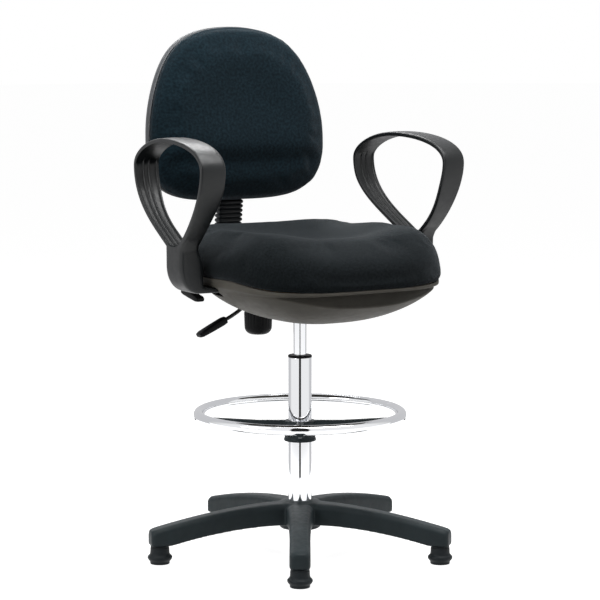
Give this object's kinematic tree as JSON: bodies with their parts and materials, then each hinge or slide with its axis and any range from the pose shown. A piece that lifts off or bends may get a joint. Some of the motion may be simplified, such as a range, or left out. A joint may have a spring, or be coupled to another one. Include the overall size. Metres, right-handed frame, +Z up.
{
  "type": "drafting chair",
  "caption": "Tall drafting chair with a padded seat and backrest, loop arms, a chrome gas-lift column with a foot ring, and a star base on glides.",
  "frame": {"origin": "the point on the floor under the column axis", "axes": "+Z up along the column; the sitter faces -Y, the backrest is at +Y, and +X is the sitter's left"},
  "size_m": [0.6528, 0.6236, 1.127],
  "materials": {
    "base_plastic": "fine matt grain",
    "black_plastic": "fine matt grain",
    "arm_plastic": "satin",
    "pan_plastic": "fine matt grain",
    "shell_plastic": "fine matt grain",
    "bellows_rubber": "matt",
    "chrome": "polished",
    "steel": "zinc plated",
    "black_steel": "black powder coat",
    "seat_fabric": "fine plain weave",
    "back_fabric": "fine plain weave",
    "plywood": "raw birch",
    "brass": "turned"
  },
  "bodies": {
    "base": {"star_base": "base_plastic", "glide_1": "black_plastic", "glide_2": "black_plastic", "glide_3": "black_plastic", "glide_4": "black_plastic", "glide_5": "black_plastic", "glide_stems": "steel", "column_tube": "chrome", "tube_foot": "steel", "thrust_race_lower": "steel", "thrust_balls": "steel", "guide_bush": "black_plastic"},
    "spindle": {"thrust_race_upper": "steel", "piston_rod": "steel", "piston_head": "black_plastic", "rod_clip": "steel"},
    "lift": {"gas_cylinder": "chrome", "cylinder_gland": "black_plastic", "valve_body": "steel", "mechanism_housing": "black_steel", "tilt_pin": "steel", "pin_clips": "steel", "tilt_spring": "steel", "lever_pivot_pin": "steel", "mechanism_bolts": "steel", "mechanism_nuts": "steel", "seat_board": "plywood", "seat_pan": "pan_plastic", "seat_cushion": "seat_fabric", "arm_right": "arm_plastic", "arm_left": "arm_plastic", "arm_bolts": "steel", "arm_nuts": "steel"},
    "valve": {"valve_pin": "brass"},
    "height_lever": {"height_lever_rod": "black_steel", "height_lever_paddle": "black_plastic"},
    "angle_lever": {"angle_lever_rod": "black_steel", "angle_lever_paddle": "black_plastic", "angle_cam": "steel"},
    "carrier": {"back_carrier": "black_steel"},
    "clamp_knob": {"depth_knob": "black_plastic", "depth_stud": "steel"},
    "upright": {"back_upright": "black_steel", "back_bellows": "bellows_rubber"},
    "backrest": {"back_bracket": "black_steel", "height_pawl": "black_plastic", "back_board": "plywood", "back_shell": "shell_plastic", "back_cushion": "back_fabric", "back_screws": "steel"},
    "footring": {"footring_hub": "black_plastic", "foot_ring": "chrome", "ring_screws": "steel", "ring_pad_screw": "black_plastic"},
    "ring_knob": {"ring_knob": "black_plastic", "ring_stud": "steel"}
  },
  "joints": [
    {"name": "swivel", "type": "hinge", "parent": "base", "child": "spindle", "pos_m": [0, 0, 0.06], "axis": [0, 0, 1], "continuous": true},
    {"name": "seat_height", "type": "slide", "parent": "spindle", "child": "lift", "axis": [0, 0, 1], "range_m": [-0.07, 0.12]},
    {"name": "height_lever_lift", "type": "hinge", "parent": "lift", "child": "height_lever", "pos_m": [-0.044, 0, 0.5815], "axis": [0, 1, 0], "range_deg": [0, 5], "stiffness_Nm_per_rad": 2, "springref_deg": -8.59},
    {"name": "valve_press", "type": "slide", "parent": "lift", "child": "valve", "axis": [0, 0, -1], "range_m": [0, 0.004]},
    {"name": "angle_lever_lift", "type": "hinge", "parent": "lift", "child": "angle_lever", "pos_m": [0, 0.118, 0.571], "axis": [-1, 0, 0], "range_deg": [0, 10], "stiffness_Nm_per_rad": 1, "springref_deg": -8.59},
    {"name": "back_tilt", "type": "hinge", "parent": "lift", "child": "carrier", "pos_m": [0, 0.095, 0.553], "axis": [-1, 0, 0], "range_deg": [0, 20], "stiffness_Nm_per_rad": 70, "springref_deg": -17.19},
    {"name": "clamp_knob_turn", "type": "hinge", "parent": "carrier", "child": "clamp_knob", "pos_m": [0, 0.168, 0.48], "axis": [0, 0, 1], "range_deg": [-180, 180]},
    {"name": "back_depth", "type": "slide", "parent": "carrier", "child": "upright", "axis": [0, 1, 0], "range_m": [-0.03, 0.02]},
    {"name": "back_height", "type": "slide", "parent": "upright", "child": "backrest", "axis": [0, -0.1219, 0.9925], "range_m": [-0.03, 0.04], "deforming": ["back_bellows"]},
    {"name": "footring_height", "type": "slide", "parent": "base", "child": "footring", "axis": [0, 0, 1], "range_m": [-0.1, 0.06]},
    {"name": "ring_knob_turn", "type": "hinge", "parent": "footring", "child": "ring_knob", "pos_m": [0.04891, 0.0104, 0.269], "axis": [0.9781, 0.2079, 0], "range_deg": [-180, 180]}
  ],
  "couplings": [
    {"joint": "valve_press", "follows": "height_lever_lift", "m_per_rad": 0.044}
  ]
}
